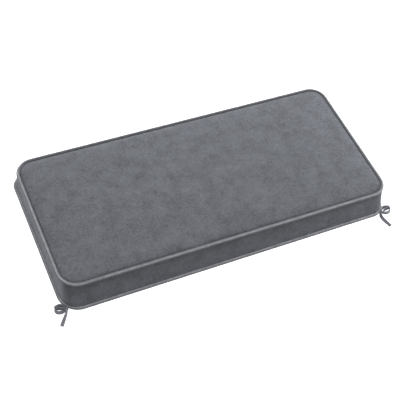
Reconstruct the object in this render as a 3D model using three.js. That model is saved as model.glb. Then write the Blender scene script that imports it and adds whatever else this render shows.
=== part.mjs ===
// Boxed bench cushion: one filled cover with a crowned top, a boxing band drawn in between two piped
// seams, and a small tie, bowed on one side, caught in the lower seam at each front corner.
// Millimetres, +Z up. The origin is the centre of the flat underside, +X runs along the bench and -Y
// is the front, where the ties are.
import * as THREE from 'three';

// Centre lines of the two piped seams, seen from above: rectangles with round corners. The lower one
// is the wider, so the band leans out towards the seat. The radii are those of the turns at the back
// right, back left, front left and front right.
const LOWER_SEAM = {
  x0: -451.8, x1: 451, y0: -210.9, y1: 211, radii: [35, 28, 49, 40], height: 5,
};
const UPPER_SEAM = {
  x0: -448.5, x1: 445.8, y0: -193, y1: 198.2, radii: [42, 45, 46, 42], height: 80,
};
// How far the fill lifts the upper seam above its height at each corner.
const CORNER_LIFT = { frontLeft: 3, frontRight: -4, backRight: 0, backLeft: 2 };
const PIPING_RADIUS = 4.3;
const PIPING_SIDES = 8;
const GROOVE_RADIUS = 4.8;      // channel round each piping, clear of it all along
const BAND_INSET = 2.2;         // band behind the line that joins the two pipings' centres
const BAND_DRAW = 0.9;          // more of the same, half way up
const ROLL_WIDTH = 12;          // from a piping's centre to where a panel turns level
const CORNER_FILL = 4.4;        // the fill pushes the band out by this at each corner's middle
const ROLL_START = -0.4;        // where a panel leaves the seam, from the piping's centre
const TURN_RISE = 2.2;          // the top panel's tight turn out of its seam
const TURN_REACH = 2.6;
const CROWN_RISE = 13.6;        // and the fill's crown behind it
// The crown falls to each seam in two parts: a tight one near the seam, and a wide one.
const CROWN_SIDES = {
  left: { tightShare: 0.22, tightReach: 13, wideReach: 62 },
  right: { tightShare: 0.32, tightReach: 13, wideReach: 95 },
  front: { tightShare: 0.30, tightReach: 13, wideReach: 80 },
  back: { tightShare: 0.32, tightReach: 13, wideReach: 95 },
};
const PANEL_INSETS = [12, 17, 24, 34, 50, 76, 110, 150];
const CORNER_STEPS = 6;
const LONG_SIDE_STEPS = 10;
const SHORT_SIDE_STEPS = 6;

const TIE_WIDTH = 9;
const TIE_THICKNESS = 1.6;
const TIE_CHAMFER = 0.4;
const TIE_CLEARANCE = 0.1;      // above the surface that the cushion lies on
const TIE_STEPS = 3;            // sections from one point of a route to the next
const KNOT_HALF = { along: 4.2, across: 3, up: 3.7 };
const KNOT_HEIGHT = 3.9;

const VELVET = { color: 0x6b7076, roughness: 0.95, metalness: 0 };
const PIPING_VELVET = { color: 0x74797f, roughness: 0.9, metalness: 0 };
const TIE_VELVET = { color: 0x63676c, roughness: 0.95, metalness: 0 };

// Each tie's strips, as they lie: x and y along the middle of the strip, and its lean from standing
// on edge (0) to lying flat (90), towards the left of its way (+) or the right (-).
const TIES = {
  tie_left: {
    knot: { x: -443.7, y: -200.8, turn: 130 },
    tail: [
      { x: -444.3, y: -204.5, lean: -14 }, { x: -447.6, y: -210.4, lean: -24 },
      { x: -454.2, y: -219.6, lean: -42 }, { x: -461.0, y: -228.6, lean: -60 },
      { x: -466.4, y: -235.6, lean: -72 }, { x: -469.4, y: -239.4, lean: -78 },
    ],
    loop: [
      { x: -446.9, y: -202.8, lean: 0 }, { x: -451.4, y: -205.2, lean: 0 },
      { x: -457.4, y: -205.8, lean: 0 }, { x: -465.0, y: -204.2, lean: 0 },
      { x: -470.6, y: -199.6, lean: 0 }, { x: -471.8, y: -194.6, lean: 0 },
      { x: -468.0, y: -192.4, lean: 0 }, { x: -461.4, y: -193.4, lean: 0 },
      { x: -455.0, y: -196.4, lean: 0 }, { x: -448.6, y: -199.8, lean: 0 },
    ],
    end: [
      { x: -446.4, y: -196.8, lean: 0 }, { x: -451.6, y: -191.2, lean: 0 },
      { x: -458.2, y: -188.0, lean: 0 }, { x: -464.6, y: -187.6, lean: 0 },
      { x: -470.4, y: -188.4, lean: 0 },
    ],
  },
  tie_right: {
    knot: { x: 438.5, y: -209.4, turn: 36 },
    tail: [
      { x: 435.1, y: -212.7, lean: 12 }, { x: 433.0, y: -220.0, lean: 26 },
      { x: 433.0, y: -230.0, lean: 44 }, { x: 435.4, y: -240.6, lean: 60 },
      { x: 438.8, y: -250.0, lean: 72 }, { x: 441.6, y: -256.0, lean: 78 },
    ],
    loop: [
      { x: 442.2, y: -212.1, lean: 0 }, { x: 446.0, y: -214.7, lean: 0 },
      { x: 452.4, y: -216.2, lean: 0 }, { x: 460.0, y: -214.8, lean: 0 },
      { x: 466.2, y: -210.8, lean: 0 }, { x: 467.6, y: -206.2, lean: 0 },
      { x: 463.8, y: -203.8, lean: 0 }, { x: 457.4, y: -203.6, lean: 0 },
      { x: 450.8, y: -205.4, lean: 0 }, { x: 443.6, y: -209.0, lean: 0 },
    ],
    end: [
      { x: 441.8, y: -206.2, lean: 0 }, { x: 447.4, y: -200.8, lean: 0 },
      { x: 453.4, y: -197.8, lean: 0 }, { x: 460.8, y: -198.2, lean: 0 },
      { x: 469.2, y: -201.6, lean: 0 },
    ],
  },
};

// ---------------------------------------------------------------- outline

// The stations run once round the cushion: each corner's arc, then the straight side after it.
function makeStations() {
  const stations = [];
  for (let corner = 0; corner < 4; corner += 1) {
    for (let i = 0; i <= CORNER_STEPS; i += 1) {
      stations.push({ corner, arc: i / CORNER_STEPS, side: 0 });
    }
    const steps = corner % 2 === 0 ? LONG_SIDE_STEPS : SHORT_SIDE_STEPS;
    for (let i = 1; i < steps; i += 1) {
      stations.push({ corner, arc: 1, side: i / steps });
    }
  }
  return stations;
}

const STATIONS = makeStations();

// The direction that faces out of the outline at a station. Corner 0 is the right one at the back.
function outward(station) {
  const angle = (station.corner + station.arc) * Math.PI / 2;
  return new THREE.Vector2(Math.cos(angle), Math.sin(angle));
}

// The end of a corner's arc nearest to a station, on an outline with round corners.
function arcPoint(outline, corner, arc) {
  const angle = (corner + arc) * Math.PI / 2;
  const right = corner === 0 || corner === 3;
  const back = corner < 2;
  const radius = outline.radii[corner];
  const centreX = right ? outline.x1 - radius : outline.x0 + radius;
  const centreY = back ? outline.y1 - radius : outline.y0 + radius;
  return new THREE.Vector2(centreX + radius * Math.cos(angle), centreY + radius * Math.sin(angle));
}

function outlinePoint(outline, station) {
  const start = arcPoint(outline, station.corner, station.arc);
  if (station.side === 0) return start;
  return start.lerp(arcPoint(outline, (station.corner + 1) % 4, 0), station.side);
}

// An outline moved inwards; past the roll its corners tighten evenly, down to the middle line.
function insetOutline(outline, inset) {
  const half = (outline.y1 - outline.y0) / 2;
  const tightening = 1 - (inset - ROLL_WIDTH) / (half - ROLL_WIDTH);
  return {
    x0: outline.x0 + inset,
    x1: outline.x1 - inset,
    y0: outline.y0 + inset,
    y1: outline.y1 - inset,
    radii: outline.radii.map((radius) => (radius - ROLL_WIDTH) * tightening),
  };
}

// The upper seam's height: its four corner lifts, blended evenly over the panel.
function upperSeamHeight(x, y) {
  const u = (x - UPPER_SEAM.x0) / (UPPER_SEAM.x1 - UPPER_SEAM.x0);
  const v = (y - UPPER_SEAM.y0) / (UPPER_SEAM.y1 - UPPER_SEAM.y0);
  const front = CORNER_LIFT.frontLeft * (1 - u) + CORNER_LIFT.frontRight * u;
  const back = CORNER_LIFT.backLeft * (1 - u) + CORNER_LIFT.backRight * u;
  return UPPER_SEAM.height + front * (1 - v) + back * v;
}

// The crown: its rise times a fall to each seam, one less a tight and a wide share of
// exp(-distance / reach).
function crownHeight(x, y) {
  const distances = {
    left: x - UPPER_SEAM.x0,
    right: UPPER_SEAM.x1 - x,
    front: y - UPPER_SEAM.y0,
    back: UPPER_SEAM.y1 - y,
  };
  let height = CROWN_RISE;
  for (const [side, fall] of Object.entries(CROWN_SIDES)) {
    const past = Math.max(distances[side] - GROOVE_RADIUS, 0);
    const tight = fall.tightShare * Math.exp(-past / fall.tightReach);
    const wide = (1 - fall.tightShare) * Math.exp(-past / fall.wideReach);
    height *= 1 - tight - wide;
  }
  return height;
}

// The top panel's tight turn out of its seam.
function panelTurn(inwards) {
  return ROLL_START + TURN_RISE * (1 - Math.exp(-(inwards - GROOVE_RADIUS) / TURN_REACH));
}

// ---------------------------------------------------------------- meshes

// Joins rings of points into one closed skin. Points that meet are merged, which closes the ends
// where a ring has shrunk to a line, and the faces are turned to look outwards.
function skin(rings, { closedAlong = false, capped = false } = {}) {
  const positions = [];
  const found = new Map();
  const indexOf = (p) => {
    const key = [p.x, p.y, p.z].map((value) => Math.round(value * 1e3)).join(' ');
    if (!found.has(key)) {
      found.set(key, positions.length / 3);
      positions.push(p.x, p.y, p.z);
    }
    return found.get(key);
  };
  const grid = rings.map((ring) => ring.map(indexOf));
  const faces = [];
  const addFace = (a, b, c) => {
    if (a !== b && b !== c && c !== a) faces.push([a, b, c]);
  };
  const spans = closedAlong ? grid.length : grid.length - 1;
  for (let i = 0; i < spans; i += 1) {
    const here = grid[i];
    const next = grid[(i + 1) % grid.length];
    for (let j = 0; j < here.length; j += 1) {
      const k = (j + 1) % here.length;
      addFace(here[j], here[k], next[k]);
      addFace(here[j], next[k], next[j]);
    }
  }
  if (capped) {
    const first = grid[0];
    const last = grid[grid.length - 1];
    for (let j = 1; j < first.length - 1; j += 1) {
      addFace(first[0], first[j + 1], first[j]);
      addFace(last[0], last[j], last[j + 1]);
    }
  }
  const point = (i) => new THREE.Vector3().fromArray(positions, i * 3);
  const volume = faces.reduce((sum, [a, b, c]) => sum + point(a).dot(point(b).cross(point(c))), 0);
  const outFaces = volume > 0 ? faces : faces.map(([a, b, c]) => [a, c, b]);
  const geometry = new THREE.BufferGeometry();
  geometry.setAttribute('position', new THREE.Float32BufferAttribute(positions, 3));
  geometry.setIndex(outFaces.flat());
  return geometry;
}

// A point beside a seam: inwards from it by one amount and up from its centre by another.
function besideSeam(outline, station, heightAt, inwards, up) {
  const seam = outlinePoint(outline, station);
  const out = outward(station);
  return new THREE.Vector3(
    seam.x - out.x * inwards,
    seam.y - out.y * inwards,
    heightAt(seam.x, seam.y) + up,
  );
}

const lowerHeight = () => LOWER_SEAM.height;

// Stations of the cushion's own profile, from the middle of the underside to the top of the crown.
// Each entry gives one ring of points round the whole cushion.
function cushionRings() {
  const rings = [];
  const addRing = (place) => rings.push(STATIONS.map(place));
  const addBeside = (outline, heightAt, inwards, up) => {
    addRing((station) => besideSeam(outline, station, heightAt, inwards, up));
  };
  const addLevel = (outline, inset, heightOf) => {
    const ring = insetOutline(outline, inset);
    addRing((station) => {
      const p = outlinePoint(ring, station);
      return new THREE.Vector3(p.x, p.y, heightOf(p.x, p.y));
    });
  };
  // A roll is a quarter of an ellipse, from level to upright at the seam or back.
  const rollPoint = (turn, depth) => ({
    inwards: ROLL_WIDTH - (ROLL_WIDTH - GROOVE_RADIUS) * Math.sin(turn),
    drop: depth * (1 - Math.cos(turn)),
  });
  const degrees = THREE.MathUtils.degToRad;

  const lowerHalf = (LOWER_SEAM.y1 - LOWER_SEAM.y0) / 2;
  addLevel(LOWER_SEAM, lowerHalf, () => 0);
  const lowerDepth = LOWER_SEAM.height + ROLL_START;
  for (const turn of [0, 30, 60, 90]) {
    const { inwards, drop } = rollPoint(degrees(turn), lowerDepth);
    addBeside(LOWER_SEAM, lowerHeight, inwards, drop - LOWER_SEAM.height);
  }
  for (const angle of [168, 150, 134, 119]) {
    const a = degrees(angle);
    addBeside(LOWER_SEAM, lowerHeight, -GROOVE_RADIUS * Math.cos(a), GROOVE_RADIUS * Math.sin(a));
  }
  for (const t of [0.16, 0.33, 0.5, 0.67, 0.84]) {
    addRing((station) => {
      const cornerMiddle = station.side === 0 ? Math.sin(Math.PI * station.arc) ** 2 : 0;
      const inset = BAND_INSET + BAND_DRAW * 4 * t * (1 - t) - CORNER_FILL * cornerMiddle;
      const low = besideSeam(LOWER_SEAM, station, lowerHeight, inset, 0);
      return low.lerp(besideSeam(UPPER_SEAM, station, upperSeamHeight, inset, 0), t);
    });
  }
  for (const angle of [-119, -134, -150, -168]) {
    const a = degrees(angle);
    const inwards = -GROOVE_RADIUS * Math.cos(a);
    addBeside(UPPER_SEAM, upperSeamHeight, inwards, GROOVE_RADIUS * Math.sin(a));
  }
  for (const past of [0, 0.7, 1.8, 3.6]) {
    const inwards = GROOVE_RADIUS + past;
    addRing((station) => {
      const p = besideSeam(UPPER_SEAM, station, upperSeamHeight, inwards, panelTurn(inwards));
      p.z += crownHeight(p.x, p.y);
      return p;
    });
  }
  const upperHalf = (UPPER_SEAM.y1 - UPPER_SEAM.y0) / 2;
  for (const inset of [...PANEL_INSETS, upperHalf]) {
    addLevel(UPPER_SEAM, inset, (x, y) => upperSeamHeight(x, y) + panelTurn(inset) + crownHeight(x, y));
  }
  return rings;
}

// A piping is a round cord in a strip of the cover's cloth, sewn all the way round one seam.
function pipingGeometry(outline, heightAt) {
  const rings = STATIONS.map((station) => {
    const ring = [];
    for (let i = 0; i < PIPING_SIDES; i += 1) {
      const a = i * 2 * Math.PI / PIPING_SIDES;
      const inwards = -PIPING_RADIUS * Math.cos(a);
      ring.push(besideSeam(outline, station, heightAt, inwards, PIPING_RADIUS * Math.sin(a)));
    }
    return ring;
  });
  return skin(rings, { closedAlong: true });
}

// A tie's strip: a flat section with cut corners, carried along its route and turned by its lean,
// at the height where its lowest edge rests on the surface.
function stripGeometry(route) {
  const w = TIE_WIDTH / 2;
  const t = TIE_THICKNESS / 2;
  const c = TIE_CHAMFER;
  const section = [
    [w, t - c], [w - c, t], [c - w, t], [-w, t - c], [-w, c - t], [c - w, -t], [w - c, -t], [w, c - t],
  ];
  const curve = new THREE.CatmullRomCurve3(
    route.map((row) => new THREE.Vector3(row.x, row.y, 0)), false, 'centripetal',
  );
  const spans = route.length - 1;
  const rings = [];
  for (let i = 0; i <= spans * TIE_STEPS; i += 1) {
    const u = i / (spans * TIE_STEPS);
    const span = Math.min(Math.floor(u * spans), spans - 1);
    const lean = THREE.MathUtils.degToRad(
      THREE.MathUtils.lerp(route[span].lean, route[span + 1].lean, u * spans - span),
    );
    const along = curve.getTangent(u);
    const left = new THREE.Vector3(-along.y, along.x, 0).normalize();
    const wide = new THREE.Vector3(0, 0, Math.cos(lean)).addScaledVector(left, Math.sin(lean));
    const thick = along.clone().cross(wide);
    const middle = curve.getPoint(u);
    middle.z = w * Math.cos(lean) + t * Math.abs(Math.sin(lean)) + TIE_CLEARANCE;
    rings.push(section.map(([a, b]) => (
      middle.clone().addScaledVector(wide, a).addScaledVector(thick, b)
    )));
  }
  return skin(rings, { capped: true });
}

// A tie's knot: the pulled-up turn of the strip, an egg that lies along the corner's seam.
function knotGeometry(knot) {
  const ball = new THREE.SphereGeometry(1, 12, 8);
  ball.rotateX(Math.PI / 2);
  ball.scale(KNOT_HALF.along, KNOT_HALF.across, KNOT_HALF.up);
  ball.rotateZ(THREE.MathUtils.degToRad(knot.turn));
  ball.translate(knot.x, knot.y, KNOT_HEIGHT);
  return ball;
}

// ---------------------------------------------------------------- assembly

const group = new THREE.Group();

function addPiece(name, geometry, finish) {
  const mesh = new THREE.Mesh(geometry, new THREE.MeshStandardMaterial(finish));
  mesh.name = name;
  group.add(mesh);
}

addPiece('cushion', skin(cushionRings()), VELVET);
addPiece('piping_lower', pipingGeometry(LOWER_SEAM, lowerHeight), PIPING_VELVET);
addPiece('piping_upper', pipingGeometry(UPPER_SEAM, upperSeamHeight), PIPING_VELVET);
for (const [name, tie] of Object.entries(TIES)) {
  addPiece(`${name}_knot`, knotGeometry(tie.knot), TIE_VELVET);
  for (const strip of ['tail', 'loop', 'end']) {
    addPiece(`${name}_${strip}`, stripGeometry(tie[strip]), TIE_VELVET);
  }
}

export default group;
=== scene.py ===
"""A boxed bench cushion in slate velvet: a filled cover with a crowned top, a band drawn in between
two piped seams, and a small tie, bowed on one side, caught in the lower seam at each front corner.

Metres, +Z up. The origin is the centre of the flat underside, +X runs along the bench, -Y is the front.
"""
import math

import bpy
import numpy as np
from mathutils import Matrix, Vector


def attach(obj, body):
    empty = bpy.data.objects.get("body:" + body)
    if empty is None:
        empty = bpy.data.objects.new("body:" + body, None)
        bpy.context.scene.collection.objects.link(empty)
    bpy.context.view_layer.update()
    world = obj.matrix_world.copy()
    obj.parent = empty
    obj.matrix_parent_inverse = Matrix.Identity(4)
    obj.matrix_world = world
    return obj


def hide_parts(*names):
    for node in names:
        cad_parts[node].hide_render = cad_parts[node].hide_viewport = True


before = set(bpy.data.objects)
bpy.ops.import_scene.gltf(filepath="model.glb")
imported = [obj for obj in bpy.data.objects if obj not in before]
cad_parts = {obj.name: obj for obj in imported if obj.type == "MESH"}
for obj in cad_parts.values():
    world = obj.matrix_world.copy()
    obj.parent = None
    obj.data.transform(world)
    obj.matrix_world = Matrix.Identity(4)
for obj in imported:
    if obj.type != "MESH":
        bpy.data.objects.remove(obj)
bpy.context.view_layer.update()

MM = 0.001
scene = bpy.context.scene

# ------------------------------------------------------------------ camera
# A long lens looks down from the front left, a little rolled, so that the long seams run up towards
# the right.
camera_stand = Vector((-0.76289, -1.18709, 1.81976))
camera_azimuth = math.radians(-32.560006)
camera_elevation = math.radians(52.432059)
camera_roll = math.radians(10.72268)
focal_length_px = 865.985
picture_width_px = 400
sensor_mm = 36.0

away = Vector((
    math.sin(camera_azimuth) * math.cos(camera_elevation),
    -math.cos(camera_azimuth) * math.cos(camera_elevation),
    math.sin(camera_elevation),
))
level_right = Vector((math.cos(camera_azimuth), math.sin(camera_azimuth), 0.0))
level_up = away.cross(level_right)
right = math.cos(camera_roll) * level_right + math.sin(camera_roll) * level_up
up = away.cross(right)

camera_data = bpy.data.cameras.new("studio_camera")
camera_data.sensor_width = sensor_mm
camera_data.lens = focal_length_px / picture_width_px * sensor_mm
camera_data.clip_start = 0.05
camera_data.clip_end = 60.0
camera = bpy.data.objects.new("studio_camera", camera_data)
camera.matrix_world = Matrix.Translation(camera_stand) @ Matrix((right, up, away)).transposed().to_4x4()
scene.collection.objects.link(camera)
scene.camera = camera

# ------------------------------------------------------------------ ties
# Each front corner has a tie: velvet folded into a flat tape, stitched along both edges and caught in
# the lower seam under the piping. A pair of tapes is tied there, with one loop, one short end on the
# same side, and one long tail that turns from its edge on to its flat.
TAPE_WIDTH = 9.0 * MM
TAPE_THICKNESS = 1.6 * MM
TAPE_TRIM = 0.02 * MM           # each edge stays this far inside the tape's width
TAPE_LIFT = 0.1 * MM            # above the surface that the cushion lies on
TAPE_SIDES = 28                 # points round the tape
EDGE_POWER, FACE_POWER = 0.4, 0.66
STITCH_DEPTH = 0.22             # share of the thickness that the stitches along the edges pull in
STITCH_PLACE, STITCH_SPREAD = 0.72, 0.09    # shares of half the width
HEM_LENGTH = 4.0 * MM           # the tape's end is turned in, so it is thicker for this far
HEM_SWELL = 0.12                # share of the thickness
HEM_RAMP = 0.3 * MM             # the swell comes in over about this far
TIP_LENGTH = 0.4 * MM
# Past the route's end, how far on in millimetres, and the share of the tape's section there.
TIP_STEPS = [(0.2, 0.92), (0.38, 0.6)]

KNOT_HEIGHT = 3.9 * MM
KNOT_HALF = np.array([4.2, 3.0, 3.7]) * MM      # half its length, width and height
KNOT_RINGS, KNOT_SIDES = 26, 40
# Grooves in the knot, as shares of its half sizes.
FOLD_DEPTH, FOLD_PLACE, FOLD_SPREAD = 0.10, 0.52, 0.10
SLANT_DEPTH, SLANT_SLOPE, SLANT_SPREAD = 0.07, 0.45, 0.12

# Millimetres along the middle of each tape, and its lean in degrees, from standing on edge (0) to
# lying flat (90), towards the left of its way (+) or the right (-).
ties = {
    "left": {
        "knot": {"x": -443.7, "y": -200.8, "turn": 130.0},
        "tail": [
            {"x": -439.0, "y": -193.4, "lean": 0}, {"x": -443.8, "y": -203.6, "lean": -12},
            {"x": -447.6, "y": -210.4, "lean": -24}, {"x": -454.2, "y": -219.6, "lean": -42},
            {"x": -461.0, "y": -228.6, "lean": -60}, {"x": -466.4, "y": -235.6, "lean": -72},
            {"x": -469.4, "y": -239.4, "lean": -78},
        ],
        "bow": [
            {"x": -444.6, "y": -202.6, "lean": 0}, {"x": -449.0, "y": -204.8, "lean": -14},
            {"x": -457.4, "y": -205.8, "lean": -34}, {"x": -465.0, "y": -204.2, "lean": -40},
            {"x": -470.6, "y": -199.6, "lean": -26}, {"x": -471.8, "y": -194.6, "lean": 0},
            {"x": -468.0, "y": -192.4, "lean": 26}, {"x": -461.4, "y": -193.4, "lean": 38},
            {"x": -455.0, "y": -196.4, "lean": 34}, {"x": -448.8, "y": -200.0, "lean": 18},
            {"x": -445.4, "y": -201.4, "lean": 0}, {"x": -444.4, "y": -199.6, "lean": 0},
            {"x": -447.0, "y": -195.6, "lean": 0}, {"x": -452.0, "y": -189.2, "lean": -18},
            {"x": -458.2, "y": -186.0, "lean": -34}, {"x": -464.6, "y": -187.0, "lean": -40},
            {"x": -470.4, "y": -189.6, "lean": -40},
        ],
    },
    "right": {
        "knot": {"x": 438.5, "y": -209.4, "turn": 36.0},
        "tail": [
            {"x": 437.2, "y": -204.0, "lean": 0}, {"x": 433.6, "y": -213.0, "lean": 22},
            {"x": 431.4, "y": -220.0, "lean": 44}, {"x": 432.2, "y": -230.0, "lean": 58},
            {"x": 435.4, "y": -240.6, "lean": 66}, {"x": 438.8, "y": -250.0, "lean": 74},
            {"x": 441.6, "y": -256.0, "lean": 78},
        ],
        "bow": [
            {"x": 440.4, "y": -212.4, "lean": 0}, {"x": 445.0, "y": -214.4, "lean": 14},
            {"x": 452.4, "y": -216.2, "lean": 34}, {"x": 460.0, "y": -214.8, "lean": 40},
            {"x": 466.2, "y": -210.8, "lean": 26}, {"x": 467.6, "y": -206.2, "lean": 0},
            {"x": 463.8, "y": -203.8, "lean": -26}, {"x": 457.4, "y": -203.6, "lean": -38},
            {"x": 450.8, "y": -205.4, "lean": -34}, {"x": 444.4, "y": -209.4, "lean": -18},
            {"x": 441.0, "y": -210.8, "lean": 0}, {"x": 440.2, "y": -208.4, "lean": 14},
            {"x": 441.8, "y": -204.6, "lean": 30}, {"x": 446.4, "y": -199.4, "lean": 34},
            {"x": 452.8, "y": -196.8, "lean": 38}, {"x": 460.8, "y": -198.2, "lean": 40},
            {"x": 469.2, "y": -201.6, "lean": 40},
        ],
    },
}


def linear_colour(srgb_hex):
    """An sRGB hex colour turned linear: c / 12.92 up to 0.04045, else ((c + 0.055) / 1.055) ^ 2.4."""
    parts = np.array([int(srgb_hex[i:i + 2], 16) for i in (1, 3, 5)]) / 255
    low = parts / 12.92
    high = ((parts + 0.055) / 1.055) ** 2.4
    return (*np.where(parts <= 0.04045, low, high), 1.0)


def add_node(tree, kind, inputs=None, **settings):
    """Adds a node, with its settings, and fills its inputs with values or with links from sockets."""
    made = tree.nodes.new(kind)
    for name, value in settings.items():
        setattr(made, name, value)
    for name, value in (inputs or {}).items():
        if isinstance(value, bpy.types.NodeSocket):
            tree.links.new(value, made.inputs[name])
        else:
            made.inputs[name].default_value = value
    return made


PATCH_SHARE = 0.44                      # of the mottle; the rest is grain
NOISE_LOW, NOISE_HIGH = 0.34, 0.66      # most of the mottle's values lie between these


def velvet(name, dark, light, sheen, grain_mm, patch_mm, shade_depth=1.0):
    """Cut velvet with a short matt pile, piece dyed. Its pile leans a little each way, so the tone
    is mottled in soft patches, and it has a soft sheen where it is seen along the pile. The pile
    itself, 0.3 mm, is too fine to show, so its grain is drawn coarser. A point attribute of the piece
    paints light and shade on the dye: where it is 1 the dye is darkened, as painted shade, to the
    given depth of its strength; where it is 0 the dye keeps its full tone, a painted highlight on the
    pipings."""
    material = bpy.data.materials.new(name)
    material.use_nodes = True
    tree = material.node_tree
    tree.nodes.clear()
    place = add_node(tree, "ShaderNodeTexCoord").outputs["Object"]
    patches = add_node(
        tree, "ShaderNodeTexNoise",
        {
            "Vector": place, "Scale": 1 / (patch_mm * MM), "Detail": 3.0, "Roughness": 0.62,
            "Distortion": 0.3,
        },
    ).outputs["Fac"]
    grain = add_node(
        tree, "ShaderNodeTexNoise",
        {"Vector": place, "Scale": 1 / (grain_mm * MM), "Detail": 2.0, "Roughness": 0.9},
    ).outputs["Fac"]
    mottle = add_node(
        tree, "ShaderNodeMix", {"Factor": 1 - PATCH_SHARE, "A": patches, "B": grain}, data_type="FLOAT",
    ).outputs["Result"]
    spread = add_node(
        tree, "ShaderNodeMapRange",
        {"Value": mottle, "From Min": NOISE_LOW, "From Max": NOISE_HIGH, "To Min": 0.0, "To Max": 1.0},
    ).outputs["Result"]
    dye = add_node(
        tree, "ShaderNodeMix",
        {"Factor": spread, "A": linear_colour(dark), "B": linear_colour(light)}, data_type="RGBA",
    ).outputs["Result"]
    # Painted shade: the piece's attribute darkens the dye; where it is 0 the full tone is a painted
    # highlight.
    shade_share = add_node(tree, "ShaderNodeAttribute", attribute_name="painted_shade").outputs["Fac"]
    depth = add_node(
        tree, "ShaderNodeMapRange",
        {"Value": shade_share, "From Min": 0.0, "From Max": 1.0, "To Min": 1.0, "To Max": shade_depth},
    ).outputs["Result"]
    colour = add_node(
        tree, "ShaderNodeVectorMath", {0: dye, "Scale": depth}, operation="SCALE",
    ).outputs["Vector"]
    pile_normal = add_node(
        tree, "ShaderNodeBump", {"Strength": 0.35, "Distance": 0.35 * MM, "Height": grain},
    ).outputs["Normal"]
    shader = add_node(
        tree, "ShaderNodeBsdfPrincipled",
        {
            "Base Color": colour, "Roughness": 0.92, "Specular IOR Level": 0.2,
            "Sheen Weight": sheen, "Sheen Roughness": 0.45, "Sheen Tint": linear_colour("#d4d8de"),
            "Normal": pile_normal,
        },
    )
    add_node(tree, "ShaderNodeOutputMaterial", {"Surface": shader.outputs["BSDF"]})
    return material


def route_points(rows, steps=6):
    """Centripetal Catmull-Rom through the rows: on each span a cubic from the two points beside it,
    with the spans timed by the square root of their lengths. Gives x, y and lean at each step."""
    table = np.array([[row["x"] * MM, row["y"] * MM, row["lean"]] for row in rows])
    spot = np.vstack([2 * table[0, :2] - table[1, :2], table[:, :2], 2 * table[-1, :2] - table[-2, :2]])
    time = np.linalg.norm(np.diff(spot, axis=0), axis=1)[:, None] ** 0.5
    before, start, end, after = spot[:-3], spot[1:-2], spot[2:-1], spot[3:]
    t0, t1, t2 = time[:-2], time[1:-1], time[2:]
    out_of = ((start - before) / t0 - (end - before) / (t0 + t1) + (end - start) / t1) * t1
    into = ((end - start) / t1 - (after - start) / (t1 + t2) + (after - end) / t2) * t1
    u = np.linspace(0, 1, steps, endpoint=False)[:, None, None]
    cubic = (
        start * (2 * u**3 - 3 * u**2 + 1) + out_of * (u**3 - 2 * u**2 + u)
        + end * (3 * u**2 - 2 * u**3) + into * (u**3 - u**2)
    )
    line = cubic.transpose(1, 0, 2).reshape(-1, 2)
    line = np.vstack([line, table[-1, :2]])
    lean = np.interp(np.linspace(0, len(rows) - 1, len(line)), np.arange(len(rows)), table[:, 2])
    return line, np.radians(lean)


def surface_mesh(name, grid, uv_grid, poles=(None, None), close_along=False):
    """Puts a grid of points, rings by points round, into a mesh of four-sided faces. Each ring is
    closed, and with close_along the last ring joins the first. A pole is one point that closes the
    grid's first or last ring with a fan."""
    rings, around = grid.shape[:2]
    ring = np.arange(rings if close_along else rings - 1)[:, None]
    point = np.arange(around)[None, :]
    next_ring = (ring + 1) % rings
    next_point = (point + 1) % around
    quads = np.stack([
        ring * around + point, ring * around + next_point,
        next_ring * around + next_point, next_ring * around + point,
    ], axis=-1).reshape(-1, 4)
    # The last faces round, and along, need one more column, and row, of the cloth's own coordinates.
    uv_next = (uv_grid[:, :1, :] * [0, 1]) + [uv_grid[0, -1, 0] * 2 - uv_grid[0, -2, 0], 0]
    uv = np.concatenate([uv_grid, uv_next], axis=1)
    if close_along:
        uv = np.concatenate([uv, uv[-1:] * 2 - uv[-2:-1]], axis=0)
    corner_uv = np.stack([
        uv[ring, point], uv[ring, point + 1], uv[ring + 1, point + 1], uv[ring + 1, point],
    ], axis=2).reshape(-1, 2)
    points = [grid.reshape(-1, 3)]
    faces = quads.tolist()
    fan_uv = []
    for end, pole in zip((0, rings - 1), poles):
        if pole is None:
            continue
        tip = sum(len(part) for part in points)
        points.append(np.array(pole, dtype=float)[None, :])
        here = end * around + np.arange(around)
        following = end * around + (np.arange(around) + 1) % around
        edge = (following, here) if end == 0 else (here, following)
        faces += np.stack([*edge, np.full(around, tip)], axis=-1).tolist()
        fan_uv.append(np.repeat(uv_grid[end].mean(axis=0)[None, :], around * 3, axis=0))
    mesh = bpy.data.meshes.new(name)
    mesh.from_pydata(np.concatenate(points).tolist(), [], faces)
    layer = mesh.uv_layers.new(name="cloth")
    layer.data.foreach_set("uv", np.concatenate([corner_uv, *fan_uv]).astype(np.float32).ravel())
    mesh.polygons.foreach_set("use_smooth", np.ones(len(mesh.polygons), dtype=bool))
    mesh.update()
    return mesh


def add_piece(mesh, material, replaced):
    """Links a finished mesh as a piece of the cushion, which stands for its plain solids."""
    piece = bpy.data.objects.new(mesh.name, mesh)
    scene.collection.objects.link(piece)
    mesh.materials.append(material)
    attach(piece, "root")
    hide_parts(*replaced)
    return piece


def paint_shade(mesh, shade_share):
    """Stores at each point of a mesh its share of painted shade, from 0, none, to 1, full."""
    painted_shade = mesh.attributes.new("painted_shade", "FLOAT", "POINT")
    painted_shade.data.foreach_set("value", shade_share.ravel().astype(np.float32))


def bump(distance, spread):
    """A smooth bump, 1 in its middle: exp(-(distance / spread) ^ 2)."""
    return np.exp(-(distance / spread) ** 2)


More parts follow.
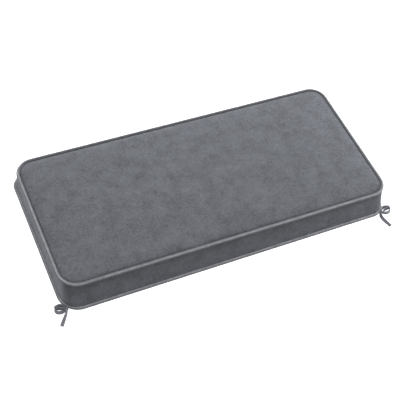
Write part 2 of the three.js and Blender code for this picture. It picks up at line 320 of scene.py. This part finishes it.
def tape_surface(rows):
    """A flat tape along a route. Round the tape the section is a rounded oblong, an angle's cosine to
    the edge power by its sine to the face power, pinched along the two stitched edges. Along the tape
    it follows the route, leans as the row says, and keeps its lowest edge just off the surface."""
    line, lean = route_points(rows)
    along = np.gradient(line, axis=0)
    along = along / np.linalg.norm(along, axis=1)[:, None]
    way = np.c_[along, np.zeros(len(line))]
    left = np.c_[-along[:, 1], along[:, 0], np.zeros(len(line))]
    wide = np.cos(lean)[:, None] * np.array([0.0, 0.0, 1.0]) + np.sin(lean)[:, None] * left
    thick = np.cross(way, wide)
    run = np.r_[0, np.cumsum(np.linalg.norm(np.diff(line, axis=0), axis=1))]
    hem = 1 + HEM_SWELL / (1 + np.exp(-(run - run[-1] + HEM_LENGTH) / HEM_RAMP))
    half_wide = TAPE_WIDTH / 2 - TAPE_TRIM
    half_thick = TAPE_THICKNESS / 2 * hem
    height = half_wide * np.abs(np.cos(lean)) + half_thick * np.abs(np.sin(lean)) + TAPE_LIFT
    middle = np.c_[line, height]
    turn = np.linspace(0, 2 * np.pi, TAPE_SIDES, endpoint=False)
    across = np.sign(np.cos(turn)) * np.abs(np.cos(turn)) ** EDGE_POWER
    over = np.sign(np.sin(turn)) * np.abs(np.sin(turn)) ** FACE_POWER
    over = over * (1 - STITCH_DEPTH * bump(np.abs(across) - STITCH_PLACE, STITCH_SPREAD))
    grid = (
        middle[:, None, :]
        + wide[:, None, :] * (across * half_wide)[None, :, None]
        + thick[:, None, :] * (over[None, :] * half_thick[:, None])[:, :, None]
    )
    # Each end of the tape is rounded over its tip, and closed with a fan.
    first, last = [], []
    for reach, share in TIP_STEPS:
        first.insert(0, middle[0] - way[0] * reach * MM + (grid[0] - middle[0]) * share)
        last.append(middle[-1] + way[-1] * reach * MM + (grid[-1] - middle[-1]) * share)
    grid = np.concatenate([np.array(first), grid, np.array(last)])
    poles = (middle[0] - way[0] * TIP_LENGTH, middle[-1] + way[-1] * TIP_LENGTH)
    tip_run = np.array([0.5, 1.0]) * TIP_LENGTH
    run = np.r_[-tip_run[::-1], run, run[-1] + tip_run]
    uv_grid = np.stack(np.meshgrid(np.linspace(0, 1, TAPE_SIDES), run), axis=-1)
    return grid, uv_grid, poles, middle


def knot_surface(knot):
    """The tied knot: an egg along the corner's seam, its skin drawn into the folds of the turn that
    the tape makes round the other, two soft grooves and a slanting one."""
    polar = np.linspace(0, np.pi, KNOT_RINGS + 2)[1:-1][:, None]
    turn = np.linspace(0, 2 * np.pi, KNOT_SIDES, endpoint=False)[None, :]
    along = np.cos(polar) * np.ones_like(turn)
    sideways = np.sin(polar) * np.cos(turn)
    folds = FOLD_DEPTH * bump(np.abs(along) - FOLD_PLACE, FOLD_SPREAD)
    slant = SLANT_DEPTH * bump(along - SLANT_SLOPE * sideways, SLANT_SPREAD)
    egg = np.stack([along, sideways, np.sin(polar) * np.sin(turn)], axis=-1)
    grid = egg * (1 - folds - slant)[..., None] * KNOT_HALF
    angle = math.radians(knot["turn"])
    spin = np.array([
        [math.cos(angle), -math.sin(angle), 0], [math.sin(angle), math.cos(angle), 0], [0, 0, 1],
    ])
    centre = np.array([knot["x"] * MM, knot["y"] * MM, KNOT_HEIGHT])
    ends = np.array([[KNOT_HALF[0], 0, 0], [-KNOT_HALF[0], 0, 0]]) @ spin.T + centre
    uv_length = 10.0 * MM
    uv_grid = np.stack(
        np.meshgrid(np.linspace(0, 1, KNOT_SIDES), np.linspace(0, uv_length, KNOT_RINGS)), axis=-1,
    )
    return grid @ spin.T + centre, uv_grid, tuple(ends)


tie_velvet = velvet("tie_velvet", "#66686d", "#82848a", sheen=0.30, grain_mm=2.64, patch_mm=9.0)
for side, tie in ties.items():
    grid, uv_grid, ends = knot_surface(tie["knot"])
    knot_mesh = surface_mesh(f"{side}_tie_knot", grid, uv_grid, ends)
    knot = add_piece(knot_mesh, tie_velvet, [f"tie_{side}_knot"])
    solids = {"tail": [f"tie_{side}_tail"], "bow": [f"tie_{side}_loop", f"tie_{side}_end"]}
    for part, replaced in solids.items():
        grid, uv_grid, ends, middle = tape_surface(tie[part])
        tape_mesh = surface_mesh(f"{side}_tie_{part}", grid, uv_grid, ends)
        tape = add_piece(tape_mesh, tie_velvet, replaced)

# ------------------------------------------------------------------ filled cover
# A top panel, an underside panel and a boxing band, cut from one velvet and sewn round the filling.
# The band leans out a little to the wider lower seam and is drawn in behind the pipings. The top is
# crowned, and each panel rolls over into its seam.
# Millimetres. Radii: the turns at the back right, back left, front left and front right.
LOWER_SEAM = {
    "x0": -451.8, "x1": 451.0, "y0": -210.9, "y1": 211.0, "radii": np.array([35.0, 28.0, 49.0, 40.0]),
}
UPPER_SEAM = {
    "x0": -448.5, "x1": 445.8, "y0": -193.0, "y1": 198.2, "radii": np.array([42.0, 45.0, 46.0, 42.0]),
}
LOWER_HEIGHT = 5.0
UPPER_HEIGHT = 80.0
BAND_HEIGHT = UPPER_HEIGHT - LOWER_HEIGHT
CORNER_LIFT = {"front_left": 3.0, "front_right": -4.0, "back_right": 0.0, "back_left": 2.0}
GROOVE_RADIUS = 4.5             # the cover's hollow round each piping
BAND_INSET = 2.2                # in from the slope between the two seams
BAND_DRAW = 0.9                 # and this much further at half the band's height
UPPER_TUCK, UPPER_TUCK_REACH = 2.0, 4.0     # the band is pulled in under the upper piping
LOWER_FLARE, LOWER_FLARE_REACH = 2.0, 6.0   # and spreads out on to the lower one
CORNER_FILL, CORNER_FILL_REACH = 4.4, 5.0   # the fill pushes it out at the four corners
BAND_GATHER = 0.28              # the sewn edges are uneven by about this much
BAND_GATHER_REACH = 0.18        # share of the band's height
PANEL_GATHER = 0.22
PANEL_GATHER_START, PANEL_GATHER_REACH = 2.0, 9.0   # they grow over the first, fade over the second
ROLL_WIDTH = 12.0
ROLL_START = -0.4                           # each panel leaves its piping this far below its middle
TURN_RISE, TURN_REACH = 2.2, 2.6            # the top panel's tight turn out of its seam
CROWN_RISE = 13.6
# The crown falls to each seam in two parts: a tight one near the seam, and a wide one.
crown_sides = {
    "left": {"tight_share": 0.22, "tight_reach": 13.0, "wide_reach": 62.0},
    "right": {"tight_share": 0.32, "tight_reach": 13.0, "wide_reach": 95.0},
    "front": {"tight_share": 0.20, "tight_reach": 13.0, "wide_reach": 80.0},
    "back": {"tight_share": 0.32, "tight_reach": 13.0, "wide_reach": 95.0},
}
# Steps along each corner's turn, each long side and each short one.
corner_steps, long_steps, short_steps = 26, 150, 66


def make_stations():
    """Once round the cushion, each corner's quarter turn and then the straight side after it. Gives
    the corner's number, how far round its turn, and how far along its side."""
    corner, arc, straight = [], [], []
    for number in range(4):
        steps = long_steps if number % 2 == 0 else short_steps
        corner.append(np.full(corner_steps + steps, number))
        arc.append(np.r_[np.linspace(0, 1, corner_steps + 1), np.ones(steps - 1)])
        straight.append(np.r_[np.zeros(corner_steps + 1), np.arange(1, steps) / steps])
    return np.concatenate(corner), np.concatenate(arc), np.concatenate(straight)


corner, arc, straight = make_stations()
facing = (corner + arc) * np.pi / 2
outward = np.c_[np.cos(facing), np.sin(facing)]


def turn_point(outline, corner_number, share):
    """A point on an outline's corner: its centre plus the radius times the way that it faces."""
    angle = (corner_number + share) * np.pi / 2
    right_side = (corner_number == 0) | (corner_number == 3)
    back_side = corner_number < 2
    radius = outline["radii"][corner_number]
    centre_x = np.where(right_side, outline["x1"] - radius, outline["x0"] + radius)
    centre_y = np.where(back_side, outline["y1"] - radius, outline["y0"] + radius)
    return np.c_[centre_x + radius * np.cos(angle), centre_y + radius * np.sin(angle)]


def outline_points(outline):
    """The outline at every station: the corner's turn, or evenly on along the side to the next."""
    start = turn_point(outline, corner, arc)
    end = turn_point(outline, (corner + 1) % 4, np.zeros(len(corner)))
    return start + (end - start) * straight[:, None]


def inset_outline(outline, inset):
    """An outline moved inwards, whose corners tighten evenly down to the middle line."""
    half = (outline["y1"] - outline["y0"]) / 2
    tightening = 1 - (inset - ROLL_WIDTH) / (half - ROLL_WIDTH)
    return {
        "x0": outline["x0"] + inset, "x1": outline["x1"] - inset,
        "y0": outline["y0"] + inset, "y1": outline["y1"] - inset,
        "radii": (outline["radii"] - ROLL_WIDTH) * tightening,
    }


def upper_height(spot):
    """The upper seam's height: its four corner lifts, blended evenly over the panel."""
    u = (spot[..., 0] - UPPER_SEAM["x0"]) / (UPPER_SEAM["x1"] - UPPER_SEAM["x0"])
    v = (spot[..., 1] - UPPER_SEAM["y0"]) / (UPPER_SEAM["y1"] - UPPER_SEAM["y0"])
    front = CORNER_LIFT["front_left"] * (1 - u) + CORNER_LIFT["front_right"] * u
    back = CORNER_LIFT["back_left"] * (1 - u) + CORNER_LIFT["back_right"] * u
    return UPPER_HEIGHT + front * (1 - v) + back * v


def crown_height(spot):
    """The fill's crown: its rise times a fall to each of the four seams, where each fall is one less
    a tight and a wide share of exp(-distance / reach)."""
    distances = {
        "left": spot[..., 0] - UPPER_SEAM["x0"], "right": UPPER_SEAM["x1"] - spot[..., 0],
        "front": spot[..., 1] - UPPER_SEAM["y0"], "back": UPPER_SEAM["y1"] - spot[..., 1],
    }
    height = np.full(spot.shape[:-1], CROWN_RISE)
    for side, fall in crown_sides.items():
        past = np.clip(distances[side] - GROOVE_RADIUS, 0, None)
        tight = fall["tight_share"] * np.exp(-past / fall["tight_reach"])
        wide = (1 - fall["tight_share"]) * np.exp(-past / fall["wide_reach"])
        height = height * (1 - tight - wide)
    return height


def panel_turn(inwards):
    """The top panel's tight turn out of its seam: its rise times one less exp(-distance / reach)."""
    return ROLL_START + TURN_RISE * (1 - math.exp(-(inwards - GROOVE_RADIUS) / TURN_REACH))


def run_round(line):
    """How far round a closed line each station is, and the whole length round."""
    steps = np.linalg.norm(np.diff(np.vstack([line, line[:1]]), axis=0), axis=1)
    run = np.r_[0, np.cumsum(steps)]
    return run[:-1], run[-1]


def wander(run, around, shortest, longest, seed, waves=24):
    """An uneven line that closes on itself: sine waves of whole turns round the seam, from longest
    to shortest, each of seeded strength and start. Its usual size is 1."""
    dice = np.random.default_rng(seed)
    turns = np.unique(np.round(np.geomspace(around / longest, around / shortest, waves)))
    starts = dice.uniform(0, 2 * np.pi, len(turns))
    sizes = dice.uniform(0.4, 1.0, len(turns))
    sines = np.sin(2 * np.pi * np.outer(run / around, turns) + starts) * sizes
    return sines.sum(axis=1) / np.sqrt((sizes**2).sum() / 2)


lower_line = outline_points(LOWER_SEAM)
upper_line = outline_points(UPPER_SEAM)
seam_run, seam_length = run_round(upper_line)
panel_gathers = wander(seam_run, seam_length, shortest=12, longest=60, seed=11)
band_gathers_high = wander(seam_run, seam_length, shortest=14, longest=90, seed=12)
band_gathers_low = wander(seam_run, seam_length, shortest=14, longest=90, seed=13)


def beside(line, height, inwards, rise):
    """Beside a seam, at each station: so far in from its line and so far above its height."""
    flat = line - outward * np.reshape(inwards, (-1, 1))
    return np.c_[flat, height + rise]


def in_groove(line, height, degrees):
    """Round a piping, at each station: on the groove's circle, so many degrees up from straight out."""
    turn = math.radians(degrees)
    return beside(line, height, -GROOVE_RADIUS * np.cos(turn), GROOVE_RADIUS * np.sin(turn))


def ellipse_roll(turns, depth):
    """The underside's roll into its seam, a quarter of an ellipse: the sine of the turn goes out
    towards the seam, and one less its cosine goes up."""
    return ROLL_WIDTH - (ROLL_WIDTH - GROOVE_RADIUS) * np.sin(turns), depth * (1 - np.cos(turns))


low_height = np.full(len(corner), LOWER_HEIGHT)
high_height = upper_height(upper_line)
rings = []

# The underside lies flat, and rolls up into the lower seam.
underside_half = (LOWER_SEAM["y1"] - LOWER_SEAM["y0"]) / 2
for inset in (underside_half, 180, 150, 120, 92, 68, 48, 34, 24, 17):
    flat = outline_points(inset_outline(LOWER_SEAM, inset))
    rings.append(np.c_[flat, np.zeros(len(flat))])
roll_in, roll_rise = ellipse_roll(np.radians(np.linspace(0, 90, 9)), LOWER_HEIGHT + ROLL_START)
for inwards, rise in zip(roll_in, roll_rise):
    rings.append(beside(lower_line, low_height, inwards, rise - LOWER_HEIGHT))

# The band: out of the lower groove, up the side, and into the upper groove.
band_first = len(rings)
for degrees in (172, 164, 155, 146, 137, 128, 119, 110):
    rings.append(in_groove(lower_line, low_height, degrees))
corner_middle = np.where(straight == 0, np.sin(np.pi * arc), 0.0) ** 2
for share in np.r_[0.07, 0.09, np.linspace(0.12, 0.88, 24), 0.91, 0.935]:
    below, above = share * BAND_HEIGHT, (1 - share) * BAND_HEIGHT
    drawn = BAND_INSET + BAND_DRAW * 4 * share * (1 - share)
    drawn = drawn + UPPER_TUCK * math.exp(-above / UPPER_TUCK_REACH)
    drawn = drawn - LOWER_FLARE * math.exp(-(below - GROOVE_RADIUS) / LOWER_FLARE_REACH)
    filled = (1 - math.exp(-below / CORNER_FILL_REACH)) * (1 - math.exp(-above / CORNER_FILL_REACH))
    gathers = BAND_GATHER * (
        band_gathers_low * math.exp(-share / BAND_GATHER_REACH)
        + band_gathers_high * math.exp(-(1 - share) / BAND_GATHER_REACH)
    )
    inwards = drawn + gathers - CORNER_FILL * filled * corner_middle
    low = beside(lower_line, low_height, inwards, 0)
    high = beside(upper_line, high_height, inwards, 0)
    rings.append(low + (high - low) * share)
for degrees in (-122, -130, -138, -147, -156, -166, -176):
    rings.append(in_groove(upper_line, high_height, degrees))
band_last = len(rings)

# The top panel: the tight turn out of its seam, and then the crown, in to the middle line.
for past in (0, 0.3, 0.7, 1.2, 1.8, 2.5, 3.3, 4.2, 5.2, 6.3):
    inwards = GROOVE_RADIUS + past
    flat = upper_line - outward * inwards
    gathers = PANEL_GATHER * panel_gathers * (1 - math.exp(-past / PANEL_GATHER_START))
    rise = panel_turn(inwards) + crown_height(flat) + gathers
    rings.append(beside(upper_line, high_height, inwards, rise))
panel_half = (UPPER_SEAM["y1"] - UPPER_SEAM["y0"]) / 2
for inset in np.r_[12, 13.5, 15.5, 18, 21, 24.5, 29, np.linspace(34, panel_half, 34)]:
    flat = outline_points(inset_outline(UPPER_SEAM, inset))
    gathers = PANEL_GATHER * panel_gathers * math.exp(-(inset - ROLL_WIDTH) / PANEL_GATHER_REACH)
    rings.append(np.c_[flat, upper_height(flat) + panel_turn(inset) + crown_height(flat) + gathers])

cover_grid = np.array(rings) * MM
cover_run = np.r_[0, np.cumsum(np.linalg.norm(np.diff(cover_grid[:, 0], axis=0), axis=1))]
cover_uv = np.stack(np.meshgrid(seam_run * MM, cover_run), axis=-1)
cover_mesh = surface_mesh("filled_cover", cover_grid, cover_uv)

# Painted shade on the band: full right under the upper piping, where the piping shades it, and less
# and less towards the lower one, where a little stays except on the left end, left lighter as painted
# light. The panels get none.
LOW_BAND_SHADE = 0.30
up_band = np.linspace(0, 1, band_last - band_first)[:, None]
left_end = np.clip(-outward[:, 0], 0, 1) ** 2
cover_painted_shade = np.zeros((len(rings), len(corner)))
cover_painted_shade[band_first:band_last] = up_band + LOW_BAND_SHADE * (1 - up_band) * (1 - left_end)
paint_shade(cover_mesh, cover_painted_shade)

# The band's dye is darkened by painted shade down to 0.58 of its strength.
cover_velvet = velvet(
    "cover_velvet", "#494b50", "#66686e", sheen=0.30, grain_mm=5.72, patch_mm=34.0, shade_depth=0.58,
)
cover = add_piece(cover_mesh, cover_velvet, ["cushion"])

# ------------------------------------------------------------------ pipings
# Round each seam runs a piping: a bias strip of the same velvet drawn tight over a round cord, sewn
# in between panel and band. The strip's slant shows as faint slanting ripples.
PIPING_RADIUS = 4.3             # millimetres, as are the swell, the ripple and its pitch
PIPING_SIDES = 24
SWELL = 0.05
RIPPLE, RIPPLE_PITCH = 0.05, 7.5
# A painted highlight runs along each piping, so many degrees up from straight out; painted shade lies
# beside it.
LOWER_HIGHLIGHT, LOWER_HIGHLIGHT_WIDTH = 88.0, 32.0
UPPER_HIGHLIGHT, UPPER_HIGHLIGHT_WIDTH = 60.0, 18.0
SIDE_HIGHLIGHT_TURN = 20.0               # the upper painted highlight sits this much further up on the short sides
# How strong the painted highlight is, and how much it varies along the piping.
HIGHLIGHT_STRENGTH, HIGHLIGHT_UNEVEN = 0.88, 0.12


def piping_mesh(name, line, height, highlight_degrees, highlight_width, seed):
    """A piping round a seam's line: a circle of points at each station, swelled a little unevenly,
    with the ripples, and a painted highlight along its ridge with painted shade on its flanks."""
    run, around = run_round(line)
    turns = np.linspace(0, 2 * np.pi, PIPING_SIDES, endpoint=False)
    swell = SWELL * wander(run, around, shortest=18, longest=120, seed=seed)
    ripple = RIPPLE * np.sin(2 * np.pi * run[:, None] / RIPPLE_PITCH + turns[None, :])
    radius = PIPING_RADIUS + swell[:, None] + ripple
    flat = line[:, None, :] + outward[:, None, :] * (radius * np.cos(turns))[..., None]
    rise = height[:, None] + radius * np.sin(turns)
    grid = np.concatenate([flat, rise[..., None]], axis=-1) * MM
    uv_grid = np.stack(np.meshgrid(turns / (2 * np.pi), run * MM), axis=-1)
    mesh = surface_mesh(name, grid, uv_grid, close_along=True)
    # Painted highlight along the ridge, uneven along the run; the flanks get painted shade.
    highlight = bump(np.degrees(turns) - highlight_degrees[:, None], highlight_width)
    uneven = np.clip(wander(run, around, shortest=14, longest=160, seed=seed + 10), -2, 1)
    paint_shade(mesh, 1 - highlight * (HIGHLIGHT_STRENGTH + HIGHLIGHT_UNEVEN * uneven)[:, None])
    return mesh


bottom_piping = piping_mesh(
    "bottom_piping", lower_line, low_height,
    np.full(len(corner), LOWER_HIGHLIGHT), LOWER_HIGHLIGHT_WIDTH, seed=21,
)
top_piping = piping_mesh(
    "top_piping", upper_line, high_height,
    UPPER_HIGHLIGHT + SIDE_HIGHLIGHT_TURN * outward[:, 0] ** 2, UPPER_HIGHLIGHT_WIDTH, seed=22,
)
# The piping's dye is lighter than the cover's, partly its own tone and partly painted highlight; its
# flanks are darkened to 0.35 by painted shade.
piping_velvet = velvet(
    "piping_velvet", "#8a8c90", "#abadb2", sheen=0.20, grain_mm=3.52, patch_mm=14.0, shade_depth=0.35,
)
add_piece(bottom_piping, piping_velvet, ["piping_lower"])
add_piece(top_piping, piping_velvet, ["piping_upper"])

# ------------------------------------------------------------------ floor and light
# A plain floor and backdrop. The camera sees both as white, and they light the cushion only a little.
FLOOR_HALF = 14.0
FLOOR_DROP = 0.3 * MM           # just below the underside
FLOOR_GLOW, FLOOR_WHITE = 0.25, 1.0
SKY_GLOW, BACKDROP_WHITE = 0.14, 1.3

floor_mesh = bpy.data.meshes.new("studio_floor")
floor_corners = [(x * FLOOR_HALF, y * FLOOR_HALF, 0) for x, y in ((-1, -1), (1, -1), (1, 1), (-1, 1))]
floor_mesh.from_pydata(floor_corners, [], [(0, 1, 2, 3)])
floor = bpy.data.objects.new("studio_floor", floor_mesh)
floor.location.z = -FLOOR_DROP
scene.collection.objects.link(floor)
floor_paint = bpy.data.materials.new("studio_floor_paint")
floor_paint.use_nodes = True
floor_tree = floor_paint.node_tree
floor_tree.nodes.clear()
floor_seen = add_node(floor_tree, "ShaderNodeLightPath").outputs["Is Camera Ray"]
floor_strength = add_node(
    floor_tree, "ShaderNodeMix",
    {"Factor": floor_seen, "A": FLOOR_GLOW, "B": FLOOR_WHITE}, data_type="FLOAT",
).outputs["Result"]
floor_shader = add_node(
    floor_tree, "ShaderNodeBsdfPrincipled",
    {
        "Base Color": linear_colour("#c8c8c8"), "Roughness": 0.9, "Specular IOR Level": 0.1,
        "Emission Color": (1, 1, 1, 1), "Emission Strength": floor_strength,
    },
)
add_node(floor_tree, "ShaderNodeOutputMaterial", {"Surface": floor_shader.outputs["BSDF"]})
floor_mesh.materials.append(floor_paint)

sky = bpy.data.worlds.new("studio_sky")
scene.world = sky
sky.use_nodes = True
sky_tree = sky.node_tree
sky_tree.nodes.clear()
sky_seen = add_node(sky_tree, "ShaderNodeLightPath").outputs["Is Camera Ray"]
sky_strength = add_node(
    sky_tree, "ShaderNodeMix",
    {"Factor": sky_seen, "A": SKY_GLOW, "B": BACKDROP_WHITE}, data_type="FLOAT",
).outputs["Result"]
background = add_node(sky_tree, "ShaderNodeBackground", {"Strength": sky_strength})
add_node(sky_tree, "ShaderNodeOutputWorld", {"Surface": background.outputs["Background"]})

# Six softboxes stand round the cushion and face its middle. Metres and watts.
softboxes = [
    {"name": "back_right_softbox", "stand": (1.8, 2.2, 1.0), "size": 1.4, "power": 80.0},
    {"name": "right_softbox", "stand": (2.6, 0.3, 0.8), "size": 1.4, "power": 44.0},
    {"name": "back_left_softbox", "stand": (-1.8, 1.9, 1.3), "size": 1.4, "power": 60.0},
    {"name": "overhead_softbox", "stand": (0.3, -0.5, 2.4), "size": 0.6, "power": 28.0},
    {"name": "front_right_softbox", "stand": (2.0, -1.7, 0.5), "size": 0.9, "power": 33.0},
    {"name": "front_left_softbox", "stand": (-2.2, -1.1, 0.5), "size": 0.9, "power": 16.0},
]
for box in softboxes:
    data = bpy.data.lights.new(box["name"], "AREA")
    data.size = box["size"]
    data.energy = box["power"]
    lamp = bpy.data.objects.new(box["name"], data)
    lamp.location = box["stand"]
    lamp.rotation_euler = (-Vector(box["stand"])).to_track_quat("-Z", "Y").to_euler()
    scene.collection.objects.link(lamp)

scene.view_settings.view_transform = "Standard"
scene.view_settings.look = "None"
